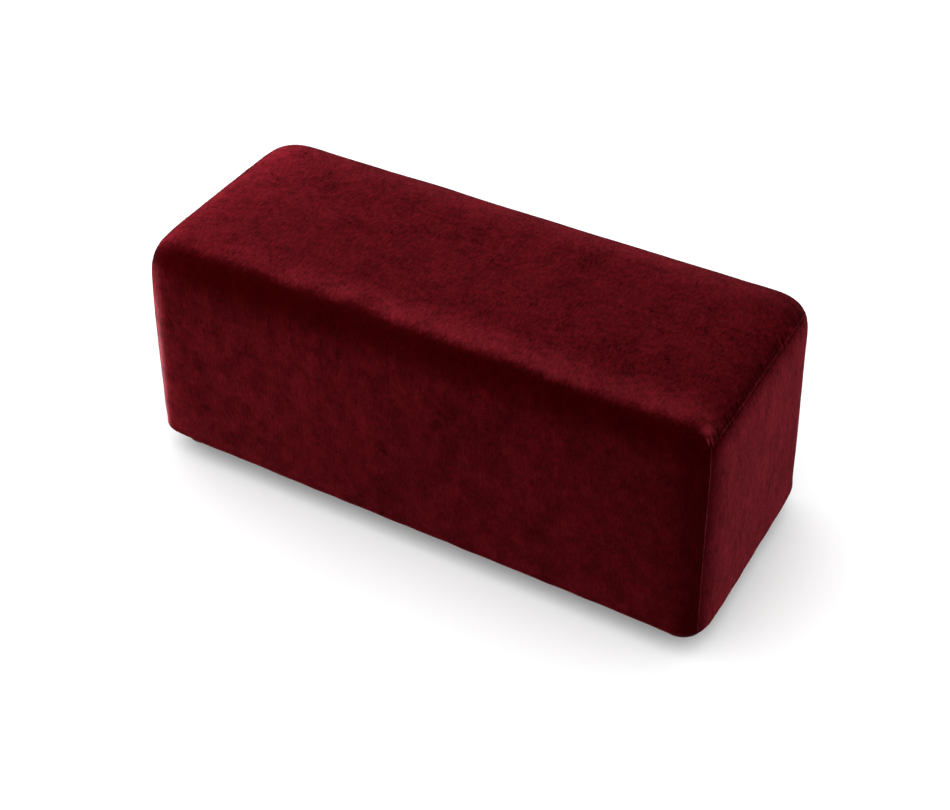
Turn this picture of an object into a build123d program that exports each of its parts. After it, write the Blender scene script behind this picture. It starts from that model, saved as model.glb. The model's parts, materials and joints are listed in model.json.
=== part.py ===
from build123d import *
import os

# Upholstered velvet bench: a padded box on four low round feet.
# Millimetres, +Z up. X is the length (right end at +X), the front long side
# faces -Y. The origin is the middle of the footprint, on the floor.

# ---------------------------------------------------------------- dimensions
LENGTH = 1060.0          # over the fabric
DEPTH = 440.0            # over the fabric
HEIGHT = 450.0           # floor to the top of the seat
UNDERSIDE = 36.5         # floor to the underside of the fabric

COVER = 2.0              # velvet, backing and pile together
WADDING = 8.0            # polyester wadding
SIDE_FOAM = 20.0         # foam sheet on the four sides
SEAT_FOAM = 60.0         # foam slab on the seat board

EDGE_R = 62.0            # outer rounding of the upright and top edges
HEM_R = 16.0             # outer rounding where the fabric rolls under
HEM = 40.0               # how far the fabric is turned under the base
SEAM_IN = 13.0           # the end seams lie this far in from the end faces
LAYER_GAP_R = 1.5        # extra corner radius of each layer inside the next

WALL = 12.0              # plywood of the walls and the rib
SEAT = 15.0              # plywood of the seat board
BASE = 18.0              # plywood of the base rails
BASE_RAIL = 90.0         # width of a base rail
POST = 35.0              # square of a corner post

FOOT_X = 479.5           # foot centres
FOOT_Y = 148.0
FOOT_R = 37.5            # at the floor
FOOT_TOP_R = 39.0
FOOT_EDGE = 3.0
STUD_R = 4.0             # M8
TEE_R = 11.0             # flange of the tee nut
TEE_T = 1.5
TEE_BARREL_R = 5.0
TEE_BARREL = 9.0

DUST = 0.6               # non-woven cloth below the base
DUST_IN = 22.0           # its edge, in from the fabric's faces

# ------------------------------------------------------------------- levels
z_cover_in = UNDERSIDE + COVER                 # underside of the base
z_base = z_cover_in + BASE                     # top of the base rails
z_top_wad = HEIGHT - COVER
z_top_foam = z_top_wad - WADDING
z_seat = z_top_foam - SEAT_FOAM                # top of the seat board
z_wall = z_seat - SEAT                         # top of the walls
z_dust = UNDERSIDE - DUST                      # underside of the dust cover
pad = COVER + WADDING                          # face to foam
frame_in = pad + SIDE_FOAM                     # face to plywood walls
FX, FY = LENGTH / 2 - frame_in, DEPTH / 2 - frame_in      # outer half sizes of the walls
BX, BY = LENGTH / 2 - pad, DEPTH / 2 - pad                # outer half sizes of the base

os.makedirs("parts", exist_ok=True)
parts = {}


def block(x0, x1, y0, y1, z0, z1):
    """A box between two corners."""
    return Pos((x0 + x1) / 2, (y0 + y1) / 2, (z0 + z1) / 2) * Box(x1 - x0, y1 - y0, z1 - z0)


def soft_box(inset, z0, z1, r, r_bottom=0.0):
    """A rounded box, inset from the fabric's faces, from z0 to z1."""
    b = block(-LENGTH / 2 + inset, LENGTH / 2 - inset, -DEPTH / 2 + inset, DEPTH / 2 - inset, z0, z1)
    top = b.edges().group_by(Axis.Z)[-1]
    b = fillet(list(b.edges().filter_by(Axis.Z)) + list(top), r)
    if r_bottom:
        b = fillet(b.edges().group_by(Axis.Z)[0], r_bottom)
    return b


def turned(points):
    """A solid turned about Z from (radius, height) points."""
    return revolve(make_face(Polyline([(r, 0, z) for r, z in points], close=True)), Axis.Z)


def screw(at, along, length, r=2.0, head_r=4.0, head=2.4):
    """A countersunk wood screw, its head flush with the face at `at`."""
    s = turned([(0, 0), (head_r, 0), (r, head), (r, length - 4), (0.4, length), (0, length)])
    return Plane(origin=at, z_dir=along).location * s


def staple(x, y, z, along_x, legs=8.0, crown=10.0, wire=0.5):
    """A staple driven up, its crown flush with the face at z."""
    c = crown / 2
    s = block(-c, c, -wire / 2, wire / 2, 0, wire)
    for k in (-1, 1):
        s += block(min(k * c, k * (c - wire)), max(k * c, k * (c - wire)), -wire / 2, wire / 2, 0, legs)
    return Pos(x, y, z) * (s if along_x else Rot(0, 0, 90) * s)


def minus(body, tools):
    """Cuts those tools out of the body whose boxes meet its own."""
    bb = body.bounding_box()
    for t in tools:
        tb = t.bounding_box()
        if all(
            getattr(tb.min, a) < getattr(bb.max, a) and getattr(tb.max, a) > getattr(bb.min, a)
            for a in "XYZ"
        ):
            body = body - t
    return body


# --------------------------------------------------------------- fasteners
corners = [(sx, sy) for sy in (-1, 1) for sx in (-1, 1)]

# base rails are joined by dowels across the joints at y = +-(BY - BASE_RAIL)
y_joint = BY - BASE_RAIL
dowels = [
    Pos(sx * x, sy * y_joint, z_cover_in + BASE / 2) * Rot(90, 0, 0) * Cylinder(4, 40)
    for sx, sy in corners
    for x in (448, 500)
]

# screws: up through the base into the walls, through the walls into the
# posts and the rib, down through the seat board into posts, walls and rib
base_screws = [
    screw((sx * x, sy * (FY - WALL / 2), z_cover_in), (0, 0, 1), 45)
    for sx, sy in corners
    for x in (110, 330)
] + [
    screw((sx * (FX - WALL / 2), sy * 60, z_cover_in), (0, 0, 1), 45) for sx, sy in corners
]
wall_screws = (
    [
        screw((sx * (FX - WALL - 14), sy * FY, z), (0, -sy, 0), 40)
        for sx, sy in corners
        for z in (90, 200, 300)
    ]
    + [
        screw((sx * FX, sy * (FY - WALL - 21), z), (-sx, 0, 0), 40)
        for sx, sy in corners
        for z in (110, 220, 320)
    ]
    + [screw((0, sy * FY, z), (0, -sy, 0), 45) for sy in (-1, 1) for z in (100, 210, 320)]
)
seat_screws = (
    [screw((sx * (FX - WALL - 17.5), sy * (FY - WALL - 17.5), z_seat), (0, 0, -1), 45) for sx, sy in corners]
    + [screw((x, sy * (FY - WALL / 2), z_seat), (0, 0, -1), 45) for sy in (-1, 1) for x in (-240, 240)]
    + [screw((0, y, z_seat), (0, 0, -1), 45) for y in (-90, 90)]
)

# tee nuts are pressed in from the base rails' upper face
tee_nuts = []
for sx, sy in corners:
    n = turned([
        (STUD_R + 0.05, z_base - TEE_T - TEE_BARREL), (TEE_BARREL_R, z_base - TEE_T - TEE_BARREL),
        (TEE_BARREL_R, z_base - TEE_T), (TEE_R, z_base - TEE_T), (TEE_R, z_base),
        (STUD_R + 0.05, z_base),
    ])
    tee_nuts.append(Pos(sx * FOOT_X, sy * FOOT_Y, 0) * n)
tee_seats = [
    Pos(sx * FOOT_X, sy * FOOT_Y, 0)
    * turned([
        (0, z_cover_in - 3), (TEE_BARREL_R, z_cover_in - 3), (TEE_BARREL_R, z_base - TEE_T),
        (TEE_R, z_base - TEE_T), (TEE_R, z_base + 1), (0, z_base + 1),
    ])
    for sx, sy in corners
]

# staples: the cover's hem, then the dust cover
hem_in, dust_in = 28.0, 32.0
cover_staples = [
    staple(-481 + 74 * i, sy * (DEPTH / 2 - hem_in), UNDERSIDE, True) for sy in (-1, 1) for i in range(14)
] + [
    staple(sx * (LENGTH / 2 - hem_in), y, UNDERSIDE, False)
    for sx in (-1, 1)
    for y in (-150, -90, -30, 30, 90, 150)
]
dust_staples = [
    staple(-444 + 74 * i, sy * (DEPTH / 2 - dust_in), z_dust, True) for sy in (-1, 1) for i in range(13)
] + [
    staple(sx * (LENGTH / 2 - dust_in), y, z_dust, False) for sx in (-1, 1) for y in (-75, 0, 75)
]

# ------------------------------------------------------------- wooden frame
base = block(-BX, BX, -BY, BY, z_cover_in, z_base)
base = fillet(base.edges().filter_by(Axis.Z), EDGE_R - pad + LAYER_GAP_R)
base = fillet(base.edges().group_by(Axis.Z)[0], 9.0)
base -= block(-BX + BASE_RAIL, BX - BASE_RAIL, -y_joint, y_joint, z_cover_in - 1, z_base + 1)
in_base = dowels + base_screws + tee_seats + cover_staples + dust_staples
parts["front_base_rail"] = minus(base & block(-BX, BX, -BY, -y_joint, 0, 100), in_base)
parts["back_base_rail"] = minus(base & block(-BX, BX, y_joint, BY, 0, 100), in_base)
parts["left_base_rail"] = minus(base & block(-BX, -BX + BASE_RAIL, -y_joint, y_joint, 0, 100), in_base)
parts["right_base_rail"] = minus(base & block(BX - BASE_RAIL, BX, -y_joint, y_joint, 0, 100), in_base)

all_screws = base_screws + wall_screws + seat_screws
parts["front_board"] = minus(block(-FX, FX, -FY, -FY + WALL, z_base, z_wall), all_screws)
parts["back_board"] = minus(block(-FX, FX, FY - WALL, FY, z_base, z_wall), all_screws)
parts["left_end_board"] = minus(block(-FX, -FX + WALL, -FY + WALL, FY - WALL, z_base, z_wall), all_screws)
parts["right_end_board"] = minus(block(FX - WALL, FX, -FY + WALL, FY - WALL, z_base, z_wall), all_screws)
parts["centre_rib"] = minus(block(-WALL / 2, WALL / 2, -FY + WALL, FY - WALL, z_base, z_wall), all_screws)
for sx, sy in corners:
    x = sorted((sx * (FX - WALL), sx * (FX - WALL - POST)))
    y = sorted((sy * (FY - WALL), sy * (FY - WALL - POST)))
    name = f"{'front' if sy < 0 else 'back'}_{'left' if sx < 0 else 'right'}_post"
    parts[name] = minus(block(*x, *y, z_base, z_wall), all_screws)
parts["seat_board"] = minus(block(-FX, FX, -FY, FY, z_wall, z_seat), all_screws)

parts["base_dowels"] = Compound(children=dowels)
parts["base_screws"] = Compound(children=base_screws)
parts["wall_screws"] = Compound(children=wall_screws)
parts["seat_screws"] = Compound(children=seat_screws)
parts["tee_nuts"] = Compound(children=tee_nuts)

# --------------------------------------------------------------------- feet
# a turned plastic foot, a little wider at the top, with a shallow recess
# below; its steel stud is moulded in and screws into the tee nut
stud_low, stud_high = 14.0, z_base - 1.0
studs = []
foot = turned([
    (0, 2.0), (20, 2.0), (21.5, 0), (FOOT_R - FOOT_EDGE, 0), (FOOT_R, FOOT_EDGE),
    (FOOT_TOP_R, z_dust - 2.0), (FOOT_TOP_R - 2.0, z_dust), (0, z_dust),
])
for sx, sy in corners:
    s = Pos(sx * FOOT_X, sy * FOOT_Y, (stud_low + stud_high) / 2) * Cylinder(STUD_R, stud_high - stud_low)
    studs.append(s)
    name = f"{'front' if sy < 0 else 'back'}_{'left' if sx < 0 else 'right'}_foot"
    parts[name] = Pos(sx * FOOT_X, sy * FOOT_Y, 0) * foot - s
parts["foot_studs"] = Compound(children=studs)

# ---------------------------------------------------------------- soft parts
core = soft_box(pad, z_base, z_top_foam, EDGE_R - pad + LAYER_GAP_R)
far = 2000.0
parts["seat_foam"] = core & block(-far, far, -far, far, z_seat, far)
low = core & block(-far, far, -far, far, 0, z_seat)
parts["front_foam"] = low & block(-FX, FX, -far, -FY, 0, far)
parts["back_foam"] = low & block(-FX, FX, FY, far, 0, far)
parts["left_foam"] = low & block(-far, -FX, -far, far, 0, far)
parts["right_foam"] = low & block(FX, far, -far, far, 0, far)

wad_out = soft_box(COVER, z_cover_in, z_top_wad, EDGE_R - COVER + LAYER_GAP_R, HEM_R - COVER + 1.0)
wad_in = soft_box(pad, z_cover_in, z_top_foam, EDGE_R - pad, 8.0)
parts["wadding"] = wad_out - wad_in

cover = soft_box(0, UNDERSIDE, HEIGHT, EDGE_R, HEM_R)
cover -= soft_box(COVER, z_cover_in, z_top_wad, EDGE_R - COVER, HEM_R - COVER)
cover -= block(-LENGTH / 2 + HEM, LENGTH / 2 - HEM, -DEPTH / 2 + HEM, DEPTH / 2 - HEM, 0, z_cover_in + 1)


def end_zone(sx):
    """What belongs to an end panel: all beyond the seam, and its mitred hem."""
    xs = LENGTH / 2 - SEAM_IN
    z = block(*sorted((sx * xs, sx * far)), -far, far, 0, far)
    hem = make_face(Polyline([
        (sx * (xs + 1), -DEPTH / 2 + 25), (sx * (LENGTH / 2 - HEM - 1), -DEPTH / 2 + HEM + 1),
        (sx * (LENGTH / 2 - HEM - 1), DEPTH / 2 - HEM - 1), (sx * (xs + 1), DEPTH / 2 - 25),
    ], close=True))
    return z + Pos(0, 0, 20) * extrude(hem, z_cover_in - 20)


left_zone, right_zone = end_zone(-1), end_zone(1)
parts["cover_wrap"] = minus(cover - left_zone - right_zone, cover_staples + dust_staples)
parts["cover_left_end"] = minus(cover & left_zone, cover_staples + dust_staples)
parts["cover_right_end"] = minus(cover & right_zone, cover_staples + dust_staples)

dust = block(-LENGTH / 2 + DUST_IN, LENGTH / 2 - DUST_IN, -DEPTH / 2 + DUST_IN, DEPTH / 2 - DUST_IN, z_dust, UNDERSIDE)
dust = fillet(dust.edges().filter_by(Axis.Z), 30)
for s in studs:
    dust -= Pos(s.center().X, s.center().Y, z_dust + DUST / 2) * Cylinder(STUD_R + 1.0, 4)
parts["dust_cover"] = minus(dust, dust_staples)
parts["cover_staples"] = Compound(children=cover_staples)
parts["dust_cover_staples"] = Compound(children=dust_staples)

for name, shape in parts.items():
    export_step(shape, f"parts/{name}.step")
print(len(parts), "nodes")
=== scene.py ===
import bpy
import json
import math
import numpy as np
from mathutils import Vector, Matrix, noise, kdtree


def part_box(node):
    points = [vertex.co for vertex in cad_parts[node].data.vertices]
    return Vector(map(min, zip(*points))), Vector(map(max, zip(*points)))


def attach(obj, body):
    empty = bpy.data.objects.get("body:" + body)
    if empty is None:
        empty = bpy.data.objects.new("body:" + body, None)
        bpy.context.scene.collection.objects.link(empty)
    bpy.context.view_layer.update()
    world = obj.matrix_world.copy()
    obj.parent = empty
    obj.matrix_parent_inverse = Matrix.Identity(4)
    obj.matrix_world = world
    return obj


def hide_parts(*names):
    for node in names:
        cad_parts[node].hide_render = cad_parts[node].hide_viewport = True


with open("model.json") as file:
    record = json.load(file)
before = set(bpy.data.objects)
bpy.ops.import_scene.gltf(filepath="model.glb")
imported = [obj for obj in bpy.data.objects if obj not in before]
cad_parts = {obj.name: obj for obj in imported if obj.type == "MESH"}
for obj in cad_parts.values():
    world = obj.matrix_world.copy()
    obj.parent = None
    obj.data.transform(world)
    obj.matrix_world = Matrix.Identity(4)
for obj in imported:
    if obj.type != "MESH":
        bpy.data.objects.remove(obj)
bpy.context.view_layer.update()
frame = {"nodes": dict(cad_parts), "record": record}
NODES = frame["nodes"]

# ------------------------------------------------------------------ the shape
# The padded box, in metres: size over the velvet at mid height, then the half
# axes of its soft corners (superellipsoid octants of exponent P), which are
# tighter at the base, where the velvet is pulled round the wood.
L, D, HB = 1.0600, 0.4387, 0.4139
RX, RY, RT = 0.0871, 0.0845, 0.0755
RXB, RYB, RB = 0.0603, 0.0859, 0.0221
P = 3.0615
TAPER = -0.030            # a little wider at the base than at the top
Z0 = 0.0365               # underside of the velvet
SEAM = 0.8006             # where the end seams lie, as a share of the corner
SEAM_SHIFT = 0.14, 0.05   # and how much nearer the corner's edge they run: on the right at the base, on the left at the top
HEM = 0.040               # how far the velvet is turned under
HEM_X, HEM_Y = HEM * RX / RXB, HEM * RY / RYB    # the same before the corners are tightened
THICK = 0.0016            # velvet with its backing
CROWN = 0.0030            # how far the padded faces stand out at most


# --------------------------------------------------------------------- camera
def make_camera():
    s = 1.0600 / 1.2
    yaw, pitch, roll = 0.5276, 0.7038, -0.0096
    dist, tx, ty = 3.1261 * s, -0.0078 * s, 0.0776 * s
    back = Vector((math.sin(yaw) * math.cos(pitch), -math.cos(yaw) * math.cos(pitch), math.sin(pitch)))
    right = Vector((math.cos(yaw), math.sin(yaw), 0))
    up = back.cross(right)
    r2 = math.cos(roll) * right + math.sin(roll) * up
    u2 = -math.sin(roll) * right + math.cos(roll) * up
    target = Vector((0, 0, Z0 + HB / 2))
    data = bpy.data.cameras.new("camera")
    data.sensor_fit = "HORIZONTAL"
    data.sensor_width = 36.0
    data.lens = 1616.04 / 950 * 36.0
    data.clip_start, data.clip_end = 0.05, 200
    cam = bpy.data.objects.new("camera", data)
    bpy.context.scene.collection.objects.link(cam)
    m = Matrix((r2, u2, back)).transposed().to_4x4()
    m.translation = target + back * dist - tx * r2 - ty * u2
    cam.matrix_world = m
    bpy.context.scene.camera = cam
    return cam


make_camera()


# ------------------------------------------------------- lattice of the cover
def corner_steps(n, fine=False, extra=()):
    """Shares 0..1 across a soft corner, finer beside the seam."""
    q = set(np.round(np.linspace(0, 1, n), 5))
    if fine:
        q = {v for v in q if abs(v - SEAM) > 0.03 or v in (0, 1)}
        for d in (0, 0.0055, 0.011, 0.0175, 0.026, 0.037, 0.052, 0.072, 0.098):
            for s in (-1, 1):
                v = SEAM + s * d
                if v < 0.995:
                    q.add(round(v, 5))
        ordered = sorted(q)
        keep = [ordered[0]]
        marks = {round(SEAM + s * d, 5) for s in (-1, 1) for d in (0, 0.0055, 0.011, 0.0175, 0.026, 0.037, 0.052, 0.072, 0.098)}
        for v in ordered[1:]:
            if v - keep[-1] < 0.012 and v not in marks:
                continue
            keep.append(v)
        if keep[-1] != 1.0:
            keep.append(1.0)
        q = set(keep)
    q |= set(round(v, 5) for v in extra)
    return np.array(sorted(q))


def axis_lines(half, r_low, r_high, core_step, n_low, n_high, fine_low=False, fine_high=False, extra_low=(), extra_high=()):
    """Box coordinates of the lattice lines along one axis, from low to high."""
    lo = corner_steps(n_low, fine_low, extra_low)
    hi = corner_steps(n_high, fine_high, extra_high)
    a, b = half[0] + r_low, half[1] - r_high
    core = np.linspace(a, b, max(2, int(round((b - a) / core_step)) + 1))
    return np.concatenate([(half[0] + r_low * (1 - lo[::-1]))[:-1], core, (half[1] - r_high * (1 - hi))[1:]])


def shape_point(ax, ay, az):
    """Maps points of the sharp box (z from 0 to HB) to the soft box, with normals."""
    cx, cy = L / 2 - RX, D / 2 - RY
    bx, by = np.clip(ax, -cx, cx), np.clip(ay, -cy, cy)
    bz = np.clip(az, RB, HB - RT)
    rz = np.where(az > HB / 2, RT, RB)
    qx, qy, qz = (ax - bx) / RX, (ay - by) / RY, (az - bz) / rz
    up = np.clip((az - RB) / (HB - RT - RB), 0, 1)
    rx, ry = RXB + (RX - RXB) * up, RYB + (RY - RYB) * up
    bx, by = bx * (L / 2 - rx) / cx, by * (D / 2 - ry) / cy
    n = (np.abs(qx) ** P + np.abs(qy) ** P + np.abs(qz) ** P) ** (1 / P)
    x, y, z = bx + rx * qx / n, by + ry * qy / n, bz + rz * qz / n
    g = np.stack([
        np.sign(qx) * np.abs(qx) ** (P - 1) / rx,
        np.sign(qy) * np.abs(qy) ** (P - 1) / ry,
        np.sign(qz) * np.abs(qz) ** (P - 1) / rz,
    ], -1)
    g /= np.linalg.norm(g, axis=-1, keepdims=True)
    return np.stack([x, y, z], -1), g


def tapered(p):
    k = 1 + TAPER * (p[..., 2] / HB - 0.5)
    out = p.copy()
    out[..., 0] *= k
    out[..., 1] *= k
    out[..., 2] += Z0
    return out


class Lattice:
    """The soft box as quads on a lattice, with who owns each quad."""

    def __init__(self, step_x, step_y, step_z, n_corner, n_seam, fine):
        hx, hy = L / 2, D / 2
        self.X = axis_lines((-hx, hx), RX, RX, step_x, n_corner, n_corner, extra_low=(1 - HEM_X / RX,), extra_high=(1 - HEM_X / RX,))
        self.Y = axis_lines((-hy, hy), RY, RY, step_y, n_seam, n_seam, fine, fine, (1 - HEM_Y / RY,), (1 - HEM_Y / RY,))
        self.Z = axis_lines((0, HB), RB, RT, step_z, 8 if fine else 4, n_seam, False, fine)
        nx, ny, nz = len(self.X), len(self.Y), len(self.Z)
        index, keys = {}, []

        def vid(i, j, k):
            key = (i, j, k)
            if key not in index:
                index[key] = len(keys)
                keys.append(key)
            return index[key]

        faces, owner = [], []
        sy, sz = hy - RY + SEAM * RY, HB - RT + SEAM * RT
        X, Y, Z = self.X, self.Y, self.Z
        for i in range(nx - 1):
            for k in range(nz - 1):
                faces.append((vid(i, 0, k), vid(i + 1, 0, k), vid(i + 1, 0, k + 1), vid(i, 0, k + 1)))
                owner.append(0)
                faces.append((vid(i + 1, ny - 1, k), vid(i, ny - 1, k), vid(i, ny - 1, k + 1), vid(i + 1, ny - 1, k + 1)))
                owner.append(0)
            for j in range(ny - 1):
                faces.append((vid(i, j, nz - 1), vid(i + 1, j, nz - 1), vid(i + 1, j + 1, nz - 1), vid(i, j + 1, nz - 1)))
                owner.append(0)
                mx, my = (X[i] + X[i + 1]) / 2, (Y[j] + Y[j + 1]) / 2
                if abs(mx) > hx - HEM_X or abs(my) > hy - HEM_Y:
                    faces.append((vid(i + 1, j, 0), vid(i, j, 0), vid(i, j + 1, 0), vid(i + 1, j + 1, 0)))
                    end = abs(mx) > hx - HEM_X and abs(my) < sy
                    owner.append((1 if mx < 0 else 2) if end else 0)
        for j in range(ny - 1):
            for k in range(nz - 1):
                my, mz = (Y[j] + Y[j + 1]) / 2, (Z[k] + Z[k + 1]) / 2
                end = abs(my) < sy and mz < sz
                faces.append((vid(nx - 1, j, k), vid(nx - 1, j + 1, k), vid(nx - 1, j + 1, k + 1), vid(nx - 1, j, k + 1)))
                owner.append(2 if end else 0)
                faces.append((vid(0, j + 1, k), vid(0, j, k), vid(0, j, k + 1), vid(0, j + 1, k + 1)))
                owner.append(1 if end else 0)
        keys = np.array(keys)
        self.box = np.stack([X[keys[:, 0]], Y[keys[:, 1]], Z[keys[:, 2]]], -1)
        self.faces, self.owner = np.array(faces), np.array(owner)
        # the upright seams lean towards the corner's edge on their way down
        on_end = np.abs(np.abs(self.box[:, 0]) - L / 2) < 1e-6
        q = np.clip((np.abs(self.box[:, 1]) - (D / 2 - RY)) / RY, 0, 1)
        g = np.where(q < SEAM, q / SEAM, (1 - q) / (1 - SEAM))
        t = np.clip(self.box[:, 2] / (HB - RT), 0, 1)
        self.shift = np.where(self.box[:, 0] > 0, SEAM_SHIFT[0] * (1 - t), SEAM_SHIFT[1] * t)
        self.box[:, 1] += np.where(on_end, np.sign(self.box[:, 1]) * RY * self.shift * g, 0)
        # the seam turns its upper corners in an arc
        self.flat = self.box.copy()
        qy = np.clip((np.abs(self.box[:, 1]) - (D / 2 - RY)) / RY, 0, 1)
        qz = np.clip((self.box[:, 2] - (HB - RT)) / RT, 0, 1)
        m = np.maximum(np.maximum(qy, qz), 1e-6)
        t = np.minimum(qy, qz) / m
        k = 1 - (1 - (1 + t ** 7) ** (-1 / 7)) * np.clip((1 - m) / (1 - SEAM), 0, 1)
        arc = on_end & (t > 0)
        self.box[:, 1] = np.where(arc, np.sign(self.box[:, 1]) * (D / 2 - RY + qy * k * RY), self.box[:, 1])
        self.box[:, 2] = np.where(arc, HB - RT + qz * k * RT, self.box[:, 2])
        self.p, self.n = shape_point(self.box[:, 0], self.box[:, 1], self.box[:, 2])

    def seam_distance(self):
        """Signed distance to the nearest end seam, in metres along the surface (positive on the end panel), and the place along the seam."""
        a = self.flat
        qy = np.clip((np.abs(a[:, 1]) - (D / 2 - RY)) / RY, 0, None)
        qz = np.clip((a[:, 2] - (HB - RT)) / RT, 0, None)
        on_end = np.abs(np.abs(a[:, 0]) - L / 2) < 1e-6
        dy, dz = (SEAM + self.shift - qy) * RY, (SEAM - qz) * RT
        d_end = np.minimum(dy, dz)
        # beyond the box's edge, on the wrap: the rest of the way, measured along x
        beyond = (1 - SEAM - self.shift) * (RY + RT) / 2 + (L / 2 - np.abs(a[:, 0]))
        d = np.where(on_end, d_end, -beyond)
        # along the seam: up the front, over the top, down the back
        vertical = dy < dz
        along = np.where(vertical, np.where(a[:, 1] < 0, a[:, 2], 2 * HB + D - a[:, 2]), HB + a[:, 1] + D / 2)
        return d, along


def noise_at(points, scale, seed, octaves=3):
    out = np.empty(len(points))
    off = Vector((seed * 7.31, seed * 3.17, seed * 5.77))
    for i, p in enumerate(points):
        v = Vector(p) * scale + off
        a, s, t = 1.0, 0.0, 0.0
        for _ in range(octaves):
            s += a * noise.noise(v)
            t += a
            v = v * 2.03
            a *= 0.5
        out[i] = s / t
    return out


# -------------------------------------------------------------- displacements
def smooth(x, lo, hi):
    t = np.clip((x - lo) / (hi - lo), 0, 1)
    return t * t * (3 - 2 * t)


def bulge(lat):
    """A slight crown of the padded faces, 0 at their edges."""
    p, n = lat.p, lat.n
    u = np.clip(1 - (np.abs(p[:, 0]) / (L / 2 - 0.01)) ** 2.4, 0, 1)
    v = np.clip(1 - (np.abs(p[:, 1]) / (D / 2 - 0.01)) ** 2.4, 0, 1)
    w = np.clip(1 - (np.abs(p[:, 2] - HB * 0.5) / (HB / 2 - 0.005)) ** 2.4, 0, 1)
    top = np.clip(n[:, 2], 0, 1) ** 4 * u * v * 0.0030
    side = np.clip(np.abs(n[:, 1]), 0, 1) ** 4 * u * w * 0.0016
    end = np.clip(np.abs(n[:, 0]), 0, 1) ** 4 * v * w * 0.0020
    return top + side + end


def puckers(lat):
    """Short ridges square to the end seams, where the thread gathers the wrap: uneven in spacing and strength, strongest over the top and at the corners. Returns the wave, its strength and its reach."""
    d, along = lat.seam_distance()
    side = np.where(lat.box[:, 0] > 0, 0.0, 40.0)
    wave, strength, ragged = np.zeros(len(d)), np.zeros(len(d)), np.ones(len(d))
    for i in np.nonzero(np.abs(d) < 0.06)[0]:
        s = along[i] + side[i]
        slant = 0.25 * d[i]
        w = noise.noise(Vector((s * 17.0, 3.7, side[i])))
        wave[i] = math.sin(2 * math.pi * (s + slant) / 0.0125 + 5.0 * w) * min(1.25, max(0.0, 0.55 + 1.3 * noise.noise(Vector((s * 55.0, 9.1, side[i])))))
        strength[i] = 0.65 + 0.9 * noise.noise(Vector((s * 9.0, 1.9, side[i])))
        ragged[i] = 1 + 0.9 * noise.noise(Vector((s * 70.0, 5.3, side[i])))
    on_top = smooth(along, HB - 0.050, HB - 0.020) * (1 - smooth(along, HB + D + 0.020, HB + D + 0.050))
    corner = np.exp(-((along - HB) / 0.028) ** 2) + np.exp(-((along - HB - D) / 0.028) ** 2)
    strength = np.clip(strength, 0.1, 1.5) * (0.22 + 0.78 * on_top) * (1 + 0.7 * corner)
    reach = np.where(d < 0, (0.010 + 0.007 * on_top) * ragged, 0.005)
    return wave, strength, reach


def blown(coarse):
    """The cover as cloth, blown for 20 frames: held at its hem and its sewn seams, and by the foam behind it everywhere else. Returns the outward movement of the coarse lattice's points."""
    scene = bpy.context.scene
    me = bpy.data.meshes.new("shell")
    me.from_pydata([tuple(v) for v in coarse.p], [], [tuple(int(i) for i in f) for f in coarse.faces])
    o = bpy.data.objects.new("shell", me)
    scene.collection.objects.link(o)
    held = o.vertex_groups.new(name="held")
    d, _ = coarse.seam_distance()
    for i in range(len(coarse.p)):
        if coarse.box[i, 2] < 0.006:
            held.add([i], 1.0, "REPLACE")
        elif abs(d[i]) < 0.009:
            held.add([i], 0.9, "REPLACE")
        else:
            held.add([i], 0.29, "REPLACE")
    m = o.modifiers.new("cloth", "CLOTH")
    c = m.settings
    c.quality = 6
    c.mass = 0.4
    c.tension_stiffness = c.compression_stiffness = 25
    c.shear_stiffness = 8
    c.bending_stiffness = 0.8
    c.use_pressure = True
    c.uniform_pressure_force = 4
    c.vertex_group_mass = "held"
    c.effector_weights.gravity = 0
    m.collision_settings.use_collision = False
    m.point_cache.frame_start, m.point_cache.frame_end = 1, 20
    for f in range(1, 21):
        scene.frame_set(f)
    ev = o.evaluated_get(bpy.context.evaluated_depsgraph_get())
    at = np.empty(len(coarse.p) * 3)
    ev.data.vertices.foreach_get("co", at)
    out = ((at.reshape(-1, 3) - coarse.p) * coarse.n).sum(1)
    bpy.data.objects.remove(o)
    bpy.data.meshes.remove(me)
    scene.frame_set(1)
    return out


def spread(coarse, values, lat):
    """Carries values from the coarse lattice's points to the fine one's."""
    tree = kdtree.KDTree(len(coarse.p))
    for i, p in enumerate(coarse.p):
        tree.insert(p, i)
    tree.balance()
    out = np.empty(len(lat.p))
    for i, p in enumerate(lat.p):
        w = t = 0.0
        for _, j, r in tree.find_n(p, 9):
            k = math.exp(-(r / 0.013) ** 2)
            w += k
            t += k * values[j]
        out[i] = t / w
    return out


def seam_relief(lat):
    """The end seams: a fine ridge between two shallow valleys over the top, and the wrap is gathered along it."""
    d, along = lat.seam_distance()
    ad = np.abs(d)
    on_top = smooth(along, HB - 0.050, HB - 0.010) * (1 - smooth(along, HB + D + 0.010, HB + D + 0.050))
    groove = (0.0006 - 0.0004 * on_top) * np.exp(-(ad / 0.0013) ** 1.15)
    lip = -0.0009 * on_top * np.exp(-((ad - 0.0046) / 0.0030) ** 2)
    wave, strength, reach = puckers(lat)
    calm = np.where(lat.box[:, 0] > 0, 1.0, 0.5) * (1 - 0.85 * np.exp(-((along - HB - D + 0.01) / 0.045) ** 2))
    return calm * (groove + lip) + calm * 0.00210 * wave * strength * np.exp(-(ad / reach) ** 1.2) * (1 - np.exp(-(ad / 0.0014) ** 2))


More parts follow.
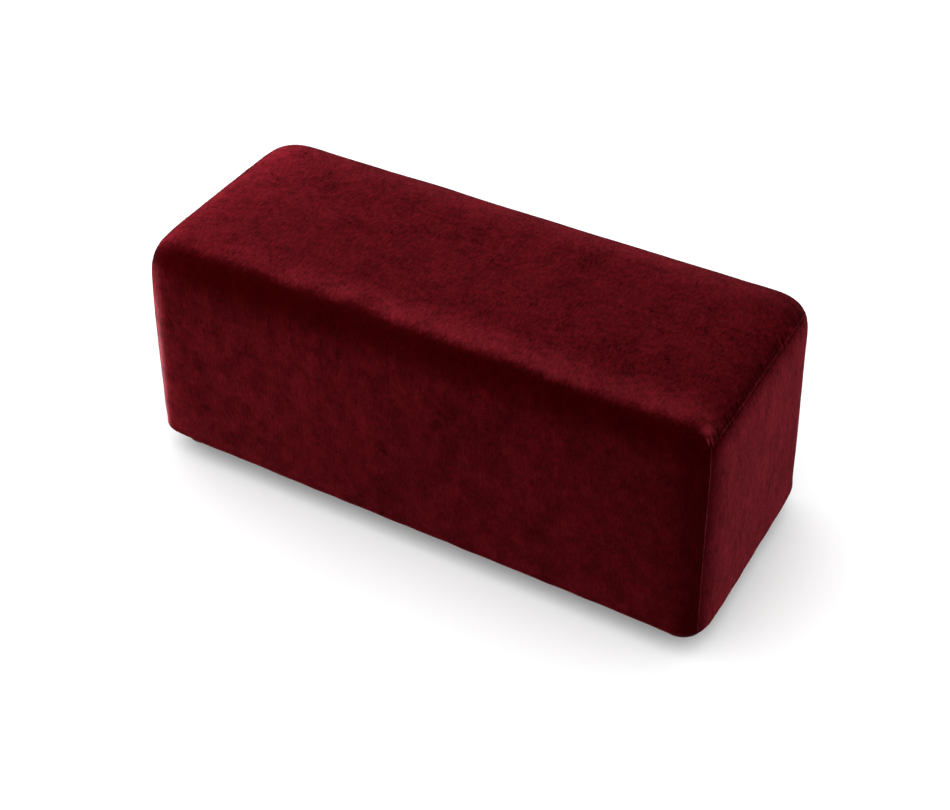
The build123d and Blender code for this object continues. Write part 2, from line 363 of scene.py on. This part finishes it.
def hem_relief(lat):
    """The velvet is pulled round the base from staple to staple."""
    p = lat.p
    low = np.exp(-np.clip(p[:, 2], 0, None) / 0.020)
    s = np.where(np.abs(lat.n[:, 0]) > np.abs(lat.n[:, 1]), p[:, 1] / 0.060, p[:, 0] / 0.074 + 0.5)
    # and rolls out a little just above the bottom edge
    roll = 0.0013 * np.exp(-((p[:, 2] - 0.010) / 0.013) ** 2)
    return low * (0.00045 * np.cos(2 * math.pi * s)) + roll


def unevenness(lat):
    a = noise_at(lat.p, 7.0, 1, 2) * 0.0013
    b = noise_at(lat.p, 26.0, 2, 2) * 0.00042
    # the corners and edges aren't stuffed alike
    c = np.zeros(len(lat.p))
    for sx, sy, z, h, wide, tall in (
            (-1, -1, HB - 0.030, -0.0040, 0.042, 0.042), (-1, 1, HB - 0.030, -0.0030, 0.042, 0.042), (1, 1, HB - 0.030, 0.0006, 0.042, 0.042),
            (-1, -1, 0.015, -0.0034, 0.045, 0.030), (-1, -1, 0.220, 0.0022, 0.060, 0.090), (1, 1, 0.200, 0.0013, 0.060, 0.110)):
        apex = np.array([sx * (L / 2 - 0.4 * RX), sy * (D / 2 - 0.4 * RY), z])
        far = (lat.p - apex) / np.array([wide, wide, tall])
        c += h * np.exp(-(far ** 2).sum(1))
    c += 0.0008 * np.clip(2 * lat.n[:, 1] * lat.n[:, 2], 0, 1)
    return a + b + c


# ---------------------------------------------------------------- mesh output
def new_object(name, verts, faces, body="root", smooth=True):
    me = bpy.data.meshes.new(name)
    me.from_pydata([tuple(v) for v in verts], [], [tuple(int(i) for i in f) for f in faces])
    me.update()
    if smooth:
        me.polygons.foreach_set("use_smooth", [True] * len(me.polygons))
    o = bpy.data.objects.new(name, me)
    bpy.context.scene.collection.objects.link(o)
    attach(o, body)
    return o


lat = Lattice(0.0052, 0.0024, 0.0040, 18, 34, True)
coarse = Lattice(0.016, 0.016, 0.016, 7, 7, False)
lift = blown(coarse)
print("cloth: outward movement, mm: top %.1f, front %.1f, end %.1f, least %.1f" % tuple(1000 * v for v in (
    lift[coarse.n[:, 2] > 0.9].max(), lift[coarse.n[:, 1] < -0.9].max(), lift[coarse.n[:, 0] > 0.9].max(), lift.min())))
crown = spread(coarse, np.clip(lift, -0.001, CROWN), lat)
disp = crown + seam_relief(lat) + hem_relief(lat) + unevenness(lat)
points = tapered(lat.p + lat.n * disp[:, None])


def off_the_wood(p, gap):
    """Pushes points out from the base rails where they come nearer than the gap, and keeps them above the dust cover."""
    (_, y0, z0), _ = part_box("front_base_rail")
    (x0, _, _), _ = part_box("left_base_rail")
    r_plan, r_low = 0.052, 0.009
    q = np.abs(p[:, :2]) - (np.array([-x0, -y0]) - r_plan)
    out = np.maximum(q, 0)
    away = np.linalg.norm(out, axis=1)
    plan = away + np.minimum(q.max(1), 0) - r_plan
    e = np.stack([plan + r_low, z0 + r_low - p[:, 2]], -1)
    ep = np.maximum(e, 0)
    far = np.linalg.norm(ep, axis=1)
    push = np.clip(gap - (far + np.minimum(e.max(1), 0) - r_low), 0, 0.008)
    push[p[:, 2] > 0.056] = 0
    side = np.sign(p[:, :2]) * out / np.maximum(away, 1e-9)[:, None]
    g = np.concatenate([side * ep[:, :1], -ep[:, 1:]], 1) / np.maximum(far, 1e-9)[:, None]
    new = p + g * push[:, None]
    new[:, 2] = np.maximum(new[:, 2], Z0 + 0.00003)
    return new


points = off_the_wood(points, 0.0019)


def pile_fields(lat):
    """How the pile lies over the whole cover: which way up the surface is and how far the pile leans, and the painted
    light and shade carried in the sheen's colour: a painted highlight strip along the top edges, painted shade beside
    the seams and over parts of the faces, and painted highlights on the seams, the rolled left edge and where the right
    seams meet.
    """
    n, box = lat.n, lat.box
    # the top, with its part of the rounded ends as far as the seam
    on_end = np.abs(np.abs(box[:, 0]) - L / 2) < 1e-6
    qy = np.clip((np.abs(box[:, 1]) - (D / 2 - RY)) / RY, 0, None)
    qz = np.clip((box[:, 2] - (HB - RT)) / RT, 0, None)
    over = np.where((np.abs(box[:, 2] - HB) < 1e-6) | (on_end & (qz >= qy)), 1.0, 0.0)
    inset = D / 2 - np.abs(box[:, 1])
    front = box[:, 1] < 0
    # a painted highlight strip along the long top edges, stronger at the front, where the pile also leans further back
    edge = (1 - smooth(inset, 0.042, 0.125)) ** 1.7 * over
    # the painted highlight strip weaker, and with a softer border, towards the left end
    left = smooth(-box[:, 0], 0.10, 0.47)
    edge *= 1 - 0.70 * left
    # across the wrap only, so that the strip runs right up to the end seams
    level = n[:, 2] / np.maximum(np.hypot(n[:, 1], n[:, 2]), 1e-6)
    up = 0.915 + (level - 0.915) * (1 - 0.35 * left) - 0.036 - 0.030 * smooth(-box[:, 0], -0.15, 0.30) * front - 0.014 * smooth(box[:, 0], -0.38, -0.28) * front
    # the border wanders
    up += (-0.034 * np.exp(-((box[:, 0] - -0.109) / 0.034) ** 2) - 0.034 * np.exp(-((box[:, 0] - 0.315) / 0.026) ** 2) + 0.014 * np.exp(-((box[:, 0] - 0.367) / 0.022) ** 2)) * front
    flat_back = np.where(n[:, 1] > 0, smooth(n[:, 2], 0.93, 0.995), 1.0)
    lean = (LEAN_TOP + LEAN_EDGE * edge * front) * flat_back
    edge_highlight = edge * np.where(front, 1.0, 0.6)
    d, along = lat.seam_distance()
    vertical = 1 - smooth(along, HB - 0.045, HB - 0.020) * (1 - smooth(along, HB + D + 0.020, HB + D + 0.045))
    # where the two seams of the right end meet at the front: a painted highlight, and the pile leans there as along the
    # top edge
    near_turn = np.zeros(len(d))
    for c, r in (((0.5034, -0.1747, 0.4013), 0.0092), ((0.5107, -0.1831, 0.3923), 0.0080)):
        near_turn = np.maximum(near_turn, np.exp(-((lat.p - np.array(c)) ** 2).sum(1) / r ** 2))
    near_turn *= d < 0.0005
    up += (1.03 - up) * np.clip(1.25 * near_turn, 0, 1)
    corner = np.exp(-((along - HB) / 0.022) ** 2)
    # painted shade towards the seams, on both sides, but less round the front corner, and patchy where it runs over the
    # top
    right = np.where(box[:, 0] > 0, 1.0, 0.0)
    near = np.nonzero(np.abs(d) < 0.075)[0]
    patchy, drawn, along_line = np.zeros(len(d)), np.zeros(len(d)), np.zeros(len(d))
    patchy[near] = noise_at(lat.p[near], 85.0, 4, 2)
    drawn[near] = noise_at(lat.p[near] * np.array([1, 1, 0.16]), 230.0, 5, 2)
    along_line[near] = noise_at(np.stack([along[near], right[near], 0 * along[near]], -1), 110.0, 6, 2)
    over_top = (1 - vertical) * right
    upright = vertical * right
    wrap_seam_shade = 1 - 0.75 * upright * np.exp(-(d / 0.057) ** 2)
    wrap_seam_shade *= 1 - np.clip(0.84 * over_top * (1 - 0.55 * corner) * (1 + 1.5 * patchy) * np.exp(-(np.abs(d) / 0.030) ** 1.7), 0, 0.87)
    end_seam_shade = 1 - 0.54 * vertical * np.exp(-(d / 0.021) ** 2)
    end_seam_shade *= 1 - np.clip(0.57 * (1 - vertical) * (1 + 1.7 * drawn) * np.exp(-(d / 0.018) ** 2), 0, 0.8)
    tone_and_painted_shading = np.where(d < 0, wrap_seam_shade, end_seam_shade) + 0.85 * near_turn * (1 + 1.5 * patchy)
    # painted light on the top towards the left end, and painted shade on the upper front towards the left end
    tone_and_painted_shading *= 1 + (0.20 + 0.26 * smooth(box[:, 1], -0.08, 0.12)) * smooth(-box[:, 0], 0.24, 0.46) * smooth(n[:, 2], 0.60, 0.90)
    tone_and_painted_shading *= 1 - 0.26 * smooth(-box[:, 0], 0.05, 0.40) * np.where(front, 1.0, 0.0) * (1 - over) * smooth(box[:, 2], HB - 0.150, HB - 0.060)
    # a painted highlight: a thin light streak along the upright seams, and a broken one along the seams over the top
    line = (1 + 1.1 * along_line) * np.exp(-(d / 0.0009) ** 2)
    broken = np.clip(0.55 + 2.6 * along_line, 0, 1.6) * np.exp(-(d / 0.0012) ** 2)
    tone_and_painted_shading += 2.10 * upright * line + 0.75 * over_top * broken
    # painted shade in the upper corner of the front, beside the right seam
    tone_and_painted_shading *= 1 - 0.46 * upright * np.where(d < 0, 1.0, 0.0) * front * np.exp(-((d + 0.052) / 0.040) ** 2) * smooth(box[:, 2], HB - 0.25, HB - 0.08)
    # painted shade: the front, and the top, darker towards the right
    tone_and_painted_shading *= 1 - 0.08 * smooth(box[:, 0], -0.20, 0.0) * front * (1 - over)
    tone_and_painted_shading *= 1 - 0.07 * smooth(box[:, 0], 0.10, 0.35) * over * (d < 0)
    # painted shade, deepest on the rounding between top and front, towards the left end
    tone_and_painted_shading *= 1 - 0.40 * smooth(-box[:, 0], 0.0, 0.30) * smooth(level, 0.12, 0.40) * (1 - smooth(level, 0.84, 0.94)) * front
    # painted light: the top lighter towards the back
    tone_and_painted_shading *= 1 + 0.09 * smooth(box[:, 1], 0.0, 0.12) * over * (d < 0)
    # painted light and shade on the top: darker at the back right corner, lighter at the back left corner and at the
    # left end
    for c, r, k in (((0.47, 0.15), 0.065, -0.22), ((-0.46, 0.14), 0.070, 0.12), ((-0.49, -0.02), 0.060, 0.13)):
        tone_and_painted_shading *= 1 + k * over * (d < 0) * np.exp(-((lat.p[:, 0] - c[0]) ** 2 + (lat.p[:, 1] - c[1]) ** 2) / r ** 2)
    # painted shade low on the front, fading out towards the left end
    tone_and_painted_shading *= 1 - 0.13 * (1 - smooth(box[:, 2], 0.06, 0.28)) * smooth(box[:, 0], -0.40, -0.10) * np.where(front & ~on_end, 1.0, 0.0)
    # painted highlight on the rolled left edge: a little lighter all over it, and lighter and paler where it is seen at
    # a slant
    roll = (1 - right) * np.where(d < 0, 1.0, 0.0) * np.exp(-((d + 0.037) / 0.021) ** 2)
    tone_and_painted_shading *= 1 + 0.30 * roll
    rim_highlight = 1.85 * roll * vertical * np.where(front, 1.0, 0.0)
    rim_pale_highlight = 1.15 * np.clip(1.30 * rim_highlight - 0.1, 0, None) ** 1.6 * (1 - 0.40 * smooth(box[:, 2], HB - 0.24, HB - 0.12)) * (1 - 0.75 * smooth(box[:, 2], HB - 0.15, HB - 0.08))
    # paler sheen in the painted highlights on the seams and where the right seams meet
    pale_highlight = np.zeros(len(d))
    pale_highlight += 0.9 * upright * np.clip(line, 0, 1.4) + 0.3 * over_top * broken + 0.15 * near_turn
    wave, strength, reach = puckers(lat)
    # painted light and shade along the ridges of the gathers
    tone_and_painted_shading *= 1 + 0.42 * wave * strength * np.exp(-(np.abs(d) / reach) ** 1.2)
    return dict(pile_up=up, pile_lean=lean, pile_edge_highlight=edge_highlight, pile_painted_shading=np.clip(tone_and_painted_shading, 0.2, 3.8), pile_pale_highlight=pale_highlight, pile_rim_highlight=rim_highlight, pile_rim_pale_highlight=rim_pale_highlight)


LEAN_TOP, LEAN_EDGE, LEAN_END = 0.30, 0.36, 0.20
fields = pile_fields(lat)


def panel(name, who):
    sel = lat.faces[lat.owner == who]
    used, inv = np.unique(sel.ravel(), return_inverse=True)
    o = new_object(name, points[used], inv.reshape(-1, 4))
    me = o.data
    for key, values in fields.items():
        at = me.attributes.new(key, "FLOAT", "POINT")
        at.data.foreach_set("value", values[used].astype(np.float32))
    m = o.modifiers.new("cloth", "SOLIDIFY")
    m.thickness = THICK
    m.offset = -1
    m.use_even_offset = False
    m.use_rim = True
    return o


wrap = panel("velvet_wrap", 0)
left_end = panel("velvet_left_end", 1)
right_end = panel("velvet_right_end", 2)
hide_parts("cover_wrap")
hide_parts("cover_left_end")
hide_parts("cover_right_end")


# ------------------------------------------------- wadding, under the velvet
def make_wadding():
    w = Lattice(0.018, 0.018, 0.018, 9, 9, False)
    sunk = bulge(w) - 0.0052
    pts = tapered(w.p + w.n * sunk[:, None])
    # trimmed off level with the base
    used, inv = np.unique(w.faces[w.box[w.faces, 2].min(1) > RB - 0.001].ravel(), return_inverse=True)
    o = new_object("wadding_wrap", pts[used], inv.reshape(-1, 4))
    m = o.modifiers.new("loft", "SOLIDIFY")
    m.thickness = 0.0045
    m.offset = -1
    m.use_even_offset = False
    return o


wadding = make_wadding()
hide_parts("wadding")


# ---------------------------------------------------- dust cover, underneath
def make_dust_cover():
    lo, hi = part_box("dust_cover")
    nx, ny = 240, 100
    xs, ys = np.linspace(lo[0], hi[0], nx), np.linspace(lo[1], hi[1], ny)
    X, Y = np.meshgrid(xs, ys, indexing="ij")
    ex = np.minimum(X - lo[0], hi[0] - X)
    ey = np.minimum(Y - lo[1], hi[1] - Y)
    e = np.minimum(ex, ey)
    sag = 0.0042 * (1 - np.exp(-np.clip(e - 0.014, 0, None) / 0.08))
    pts = np.stack([X.ravel(), Y.ravel(), np.zeros(nx * ny)], -1)
    wrinkle = noise_at(pts @ np.array([[0.8, 0.5, 0], [-0.35, 1.3, 0], [0, 0, 1]]), 16.0, 9, 3).reshape(nx, ny) * 0.0042 * smooth(e, 0.012, 0.045)
    # pulled into short folds by the staples
    staples = NODES["dust_cover_staples"].data
    at = np.empty(len(staples.vertices) * 3)
    staples.vertices.foreach_get("co", at)
    at = at.reshape(-1, 3)
    tree = kdtree.KDTree(len(at))
    for n, c in enumerate(at):
        tree.insert((c[0], c[1], 0), n)
    tree.balance()
    near = np.array([tree.find((x, y, 0))[2] for x, y in zip(X.ravel(), Y.ravel())]).reshape(nx, ny)
    bag = 0.0009 * smooth(near, 0.006, 0.030) * np.exp(-((e - 0.014) / 0.012) ** 2)
    Z = np.minimum(hi[2] - sag + wrinkle - bag, hi[2])
    Z = np.where(near < 0.006, hi[2], Z)
    # round corners
    r = 0.030
    cx, cy = (lo[0] + hi[0]) / 2, (lo[1] + hi[1]) / 2
    hx, hy = (hi[0] - lo[0]) / 2 - r, (hi[1] - lo[1]) / 2 - r
    u, v = (np.abs(X - cx) - hx) / r, (np.abs(Y - cy) - hy) / r
    turned = (u > 0) & (v > 0)
    un, vn = u * np.sqrt(np.clip(1 - v * v / 2, 0, 1)), v * np.sqrt(np.clip(1 - u * u / 2, 0, 1))
    X = np.where(turned, cx + np.sign(X - cx) * (hx + un * r), X)
    Y = np.where(turned, cy + np.sign(Y - cy) * (hy + vn * r), Y)
    pts = np.stack([X.ravel(), Y.ravel(), Z.ravel()], -1)
    i = np.arange(nx * ny).reshape(nx, ny)
    f = np.stack([i[:-1, :-1].ravel(), i[:-1, 1:].ravel(), i[1:, 1:].ravel(), i[1:, :-1].ravel()], -1)
    o = new_object("dust_cloth", pts, f)
    m = o.modifiers.new("cloth", "SOLIDIFY")
    m.thickness = 0.00035
    m.offset = 1
    return o


dust = make_dust_cover()
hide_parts("dust_cover")

# ------------------------------------------------------------------ materials
class Mat:
    """A node material, written one node at a time."""

    def __init__(self, name):
        self.m = bpy.data.materials.new(name)
        self.m.use_nodes = True
        self.t = self.m.node_tree
        self.t.nodes.clear()
        self.x = 0

    def put(self, n, key, v):
        if isinstance(v, tuple) and len(v) == 2 and isinstance(v[0], bpy.types.Node):
            self.t.links.new(v[0].outputs[v[1]], n.inputs[key])
        else:
            n.inputs[key].default_value = v

    def node(self, kind, **inputs):
        n = self.t.nodes.new(kind)
        self.x += 180
        n.location = (self.x, 0)
        for k, v in inputs.items():
            self.put(n, int(k[1:]) if k[0] == "i" and k[1:].isdigit() else k.replace("_", " "), v)
        return n

    def math(self, op, a, b=0.0, c=0.0, clamp=False):
        n = self.node("ShaderNodeMath", i0=a, i1=b, i2=c)
        n.operation = op
        n.use_clamp = clamp
        return (n, 0)

    def vmath(self, op, a, b=(0, 0, 0)):
        n = self.node("ShaderNodeVectorMath", i0=a, i1=b)
        n.operation = op
        return (n, 1 if op in ("DOT_PRODUCT", "LENGTH") else 0)

    def scaled(self, v, k):
        n = self.node("ShaderNodeVectorMath", i0=v)
        n.operation = "SCALE"
        self.put(n, "Scale", k)
        return (n, 0)

    def noise(self, where, scale, detail=2.0, rough=0.5, stretch=None):
        if stretch:
            mp = self.node("ShaderNodeMapping", Vector=where)
            mp.inputs["Scale"].default_value = stretch
            where = (mp, 0)
        return (self.node("ShaderNodeTexNoise", Vector=where, Scale=scale, Detail=detail, Roughness=rough), 0)

    def ramp(self, f, stops):
        n = self.node("ShaderNodeValToRGB", i0=f)
        r = n.color_ramp
        r.elements[0].position, r.elements[0].color = stops[0]
        r.elements[1].position, r.elements[1].color = stops[-1]
        for p, c in stops[1:-1]:
            r.elements.new(p).color = c
        return (n, 0)

    def attribute(self, name):
        n = self.node("ShaderNodeAttribute")
        n.attribute_name = name
        return (n, 2)

    def out(self, shader):
        self.node("ShaderNodeOutputMaterial", Surface=shader)
        return self.m


def grey(v):
    return (v, v, v, 1)


PILE_BASE = (0.0125, 0.00001, 0.0001)
PILE_ROUGH = 0.60
# the whiter tint added to the sheen in the painted highlights
PALE_HIGHLIGHT = (0.0, 0.0130, 0.0135)


def velvet(name, nap, streak, comb, flow, sheen, lean=None):
    """Cut-pile velvet: a dark ground that shows where the pile is seen end on, and a sheen from its sides, whose colour
    carries painted light and shade from the point attributes.
    nap: its cross product with the surface normal is the way the pile leans.
    lean: how far, or None to take it from the point attributes, with a ragged border where the top meets the front."""
    m = Mat(name)
    obj = (m.node("ShaderNodeTexCoord"), 3)
    geo = m.node("ShaderNodeNewGeometry")
    # brushed patches at two sizes, streaks and short strokes along the pile, single tufts
    big = m.noise(obj, 8.0, 3.0, 0.55, flow)
    small = m.noise(obj, 32.0, 3.0, 0.60, flow)
    streaks = m.noise(obj, 1.0, 2.0, 0.55, streak)
    strokes = m.noise(obj, 1.0, 2.0, 0.60, comb)
    tuft = m.noise(obj, 420.0, 2.0, 0.65)
    # wisps, drawn out along the bench on top and down its sides
    wisps = m.noise(obj, 1.0, 2.0, 0.55, (48, 105, 48))
    t = m.math("MULTIPLY_ADD", big, 0.50, -0.25 - 0.30 - 0.15 - 0.31)
    t = m.math("MULTIPLY_ADD", wisps, 0.62, t)
    t = m.math("MULTIPLY_ADD", small, 0.60, t)
    t = m.math("MULTIPLY_ADD", streaks, 0.30, t)
    brushed = t
    t = m.math("MULTIPLY_ADD", strokes, 1.20, t)
    t = m.math("MULTIPLY_ADD", tuft, 1.30, t)
    t = m.math("ADD", t, -0.60 - 0.65)
    if lean is None:
        # the border of the painted highlight strip and of the leaned pile on the top, ragged at three sizes
        r1 = m.noise(obj, 13.0, 2.0, 0.5)
        r2 = m.noise(obj, 1.0, 2.0, 0.6, (46, 60, 60))
        u = m.math("MULTIPLY_ADD", r1, 0.15, m.math("ADD", m.attribute("pile_up"), -0.075 - 0.05 - 0.035))
        u = m.math("MULTIPLY_ADD", r2, 0.10, u)
        u = m.math("MULTIPLY_ADD", strokes, 0.07, u)
        up = (m.node("ShaderNodeMapRange", Value=u, i1=0.785, i2=0.995), 0)
        up[0].interpolation_type = "SMOOTHSTEP"
        k0 = m.math("MULTIPLY", up, m.attribute("pile_lean"))
        # the painted highlight strip lifts the sheen's colour
        highlight_gain = m.math("MULTIPLY_ADD", m.math("MULTIPLY", up, m.attribute("pile_edge_highlight")), 1.12, 1.0)
        # the grain is finer within the painted highlight strip
        coarse_grain = m.math("MULTIPLY_ADD", up, 0.45, 1.2)
        grain = m.math("MULTIPLY_ADD", t, m.math("MULTIPLY_ADD", m.math("MULTIPLY", up, m.attribute("pile_edge_highlight")), -0.70, coarse_grain), 1.0)
        pale_highlight = m.math("MULTIPLY_ADD", m.math("MULTIPLY", up, m.attribute("pile_edge_highlight")), 0.20, m.attribute("pile_pale_highlight"))
        # the painted sheen highlight of the rolled left edge, stronger where the surface is seen at a slant
        facing = m.node("ShaderNodeLayerWeight")
        facing.inputs["Blend"].default_value = 0.5
        slant = (m.node("ShaderNodeMapRange", Value=(facing, 1), i1=0.15, i2=0.60), 0)
        slant[0].interpolation_type = "SMOOTHSTEP"
        pale_highlight = m.math("MULTIPLY_ADD", m.math("MULTIPLY", slant, m.attribute("pile_rim_pale_highlight")), 1.0, pale_highlight)
        highlight_gain = m.math("MULTIPLY", highlight_gain, m.math("MULTIPLY_ADD", slant, m.attribute("pile_rim_highlight"), 1.0))
    else:
        k0 = m.math("ADD", lean, 0.0)
        highlight_gain = m.math("ADD", 1.0, 0.0)
        grain = m.math("MULTIPLY_ADD", t, 1.15, 1.0)
        pale_highlight = m.attribute("pile_pale_highlight")
    # the sheen's colour scale: random grain times the painted highlights and painted shade
    tone_and_painted_shading = m.math("MULTIPLY", m.math("MULTIPLY", grain, highlight_gain), m.attribute("pile_painted_shading"))
    tone_and_painted_shading = m.math("MAXIMUM", tone_and_painted_shading, 0.12)
    # paler in the painted highlights
    side = m.vmath("ADD", m.scaled(sheen, tone_and_painted_shading), m.scaled(PALE_HIGHLIGHT, pale_highlight))
    ground = m.scaled(PILE_BASE, m.math("MULTIPLY_ADD", grain, 0.5, 0.5))
    h = m.math("MULTIPLY_ADD", strokes, 1.0, tuft)
    bump = (m.node("ShaderNodeBump", Strength=0.5, Distance=0.0008, Height=h), 0)
    axis = (m.node("ShaderNodeCombineXYZ", X=nap[0], Y=nap[1], Z=nap[2]), 0)
    k = m.math("ADD", k0, m.math("MULTIPLY", brushed, -0.30))
    lean_v = m.scaled(m.vmath("CROSS_PRODUCT", (geo, 1), axis), k)
    nn = m.vmath("NORMALIZE", m.vmath("ADD", bump, lean_v))
    body = m.node("ShaderNodeBsdfPrincipled", Base_Color=ground, Roughness=0.85, Normal=bump)
    body.inputs["Specular IOR Level"].default_value = 0.0
    body.inputs["Sheen Weight"].default_value = 0.025
    body.inputs["Sheen Roughness"].default_value = 0.40
    body.inputs["Sheen Tint"].default_value = (1.0, 0.45, 0.50, 1)
    pile = m.node("ShaderNodeBsdfSheen", Color=side, Roughness=PILE_ROUGH, Normal=nn)
    pile.distribution = "ASHIKHMIN"
    both = m.node("ShaderNodeAddShader", i0=(body, 0), i1=(pile, 0))
    return m.out((both, 0))


V_WRAP = velvet("velvet_wrap_pile", (1, 0, 0), (60, 20, 16), (250, 90, 80), (1.0, 0.8, 0.65), (0.0735, 0.0040, 0.0070))
# the ends' velvet is the wrap's with about twice its sheen colour: painted light that makes the end panels brighter
V_END = velvet("velvet_end_pile", (0, 1, 0), (60, 60, 14), (250, 250, 80), (1.0, 1.0, 0.5), (0.149, 0.0096, 0.0165), LEAN_END)
wrap.data.materials.append(V_WRAP)
left_end.data.materials.append(V_END)
right_end.data.materials.append(V_END)


def simple(name, color, rough=0.6, metallic=0.0, scale=60.0, vary=0.25, bump=0.3, dist=0.0004, stretch=(1, 1, 1), spec=0.5):
    m = Mat(name)
    tc = m.node("ShaderNodeTexCoord")
    n1 = m.noise((tc, 3), scale, 5.0, 0.6, stretch)
    a = tuple(c * (1 - vary) for c in color) + (1,)
    b = tuple(min(1, c * (1 + vary)) for c in color) + (1,)
    col = m.ramp(n1, [(0.25, a), (0.75, b)])
    r = m.math("MULTIPLY_ADD", n1, 0.2, rough - 0.1)
    bp = m.node("ShaderNodeBump", Strength=bump, Distance=dist, Height=n1)
    bsdf = m.node("ShaderNodeBsdfPrincipled", Base_Color=col, Roughness=r, Normal=(bp, 0))
    bsdf.inputs["Metallic"].default_value = metallic
    bsdf.inputs["Specular IOR Level"].default_value = spec
    return m.out((bsdf, 0))


M = {
    "plywood": simple("plywood_faces", (0.60, 0.43, 0.26), 0.65, scale=22, stretch=(1, 8, 8), vary=0.22),
    "solid_wood": simple("softwood", (0.66, 0.46, 0.26), 0.6, scale=30, stretch=(6, 6, 0.8), vary=0.25),
    "foam": simple("foam_cells", (0.80, 0.72, 0.50), 0.9, scale=700, vary=0.12, bump=0.8, dist=0.0006),
    "wadding": simple("wadding_fibres", (0.82, 0.82, 0.80), 0.95, scale=240, vary=0.08, bump=0.9, dist=0.001, stretch=(1, 1.6, 1)),
    "zinc_steel": simple("zinc_plate", (0.62, 0.62, 0.60), 0.35, 1.0, scale=300, vary=0.1, bump=0.1, dist=0.0001),
    "black_plastic": simple("black_moulding", (0.0045, 0.0042, 0.0042), 0.55, scale=900, vary=0.3, bump=0.35, dist=0.00012, spec=0.16),
    "dust_cloth": simple("non_woven_black", (0.018, 0.018, 0.019), 0.9, scale=500, vary=0.35, bump=0.5, dist=0.0003),
}
for part in frame["record"]["subparts"]:
    node, slot = part["node"], part["material_slot"]
    if slot in M and node in NODES:
        o = NODES[node]
        if not o.material_slots:
            o.data.materials.append(M[slot])
        for s in o.material_slots:
            s.material = M[slot]
wadding.data.materials.append(M["wadding"])
dust.data.materials.append(M["dust_cloth"])

# ---------------------------------------------------------------------- stage
floor_mesh = bpy.data.meshes.new("floor")
floor_mesh.from_pydata([(-150, -150, 0), (150, -150, 0), (150, 150, 0), (-150, 150, 0)], [], [(0, 1, 2, 3)])
floor = bpy.data.objects.new("floor", floor_mesh)
bpy.context.scene.collection.objects.link(floor)
fm = Mat("floor_white")
tcf = fm.node("ShaderNodeTexCoord")
nf = fm.noise((tcf, 3), 3.0)
fc = fm.ramp(nf, [(0.3, grey(0.925)), (0.7, grey(0.935))])
fb = fm.node("ShaderNodeBsdfPrincipled", Base_Color=fc, Roughness=0.9)
fb.inputs["Specular IOR Level"].default_value = 0.1
floor.data.materials.append(fm.out((fb, 0)))

TENT_LOW, TENT_TOWARDS = 0.775, (-0.37, -0.41, 1.0)
world = bpy.data.worlds.new("studio")
bpy.context.scene.world = world
world.use_nodes = True
# an overhead tent, brighter above and towards the front left
wt = world.node_tree
bg = wt.nodes.get("Background")
bg.inputs[0].default_value = (1, 1, 1, 1)
where_to = wt.nodes.new("ShaderNodeTexCoord")
towards = wt.nodes.new("ShaderNodeVectorMath")
towards.operation = "DOT_PRODUCT"
wt.links.new(where_to.outputs[0], towards.inputs[0])
towards.inputs[1].default_value = TENT_TOWARDS
tent = wt.nodes.new("ShaderNodeMath")
tent.operation = "ADD"
wt.links.new(towards.outputs[1], tent.inputs[0])
tent.inputs[1].default_value = TENT_LOW
wt.links.new(tent.outputs[0], bg.inputs[1])


def area_light(name, where, look, size, power, color=(1, 1, 1), size_y=None):
    d = bpy.data.lights.new(name, "AREA")
    d.energy = power
    d.size = size
    d.color = color
    if size_y:
        d.shape = "RECTANGLE"
        d.size_y = size_y
    o = bpy.data.objects.new(name, d)
    bpy.context.scene.collection.objects.link(o)
    o.location = where
    o.rotation_mode = "QUATERNION"
    o.rotation_quaternion = (Vector(look) - Vector(where)).to_track_quat("-Z", "Y")
    return o


key = area_light("key", (-1.12, -0.72, 0.96), (-0.25, 0, 0.35), 0.45, 14)
# flagged off the floor, which the tent alone lights
flag = bpy.data.collections.new("flagged_from_key")
flag.objects.link(floor)
key.light_linking.receiver_collection = flag
flag.collection_objects[0].light_linking.link_state = "EXCLUDE"

vs = bpy.context.scene.view_settings
vs.view_transform = "Standard"
vs.look = "None"
vs.exposure = 0.0
vs.gamma = 1.0
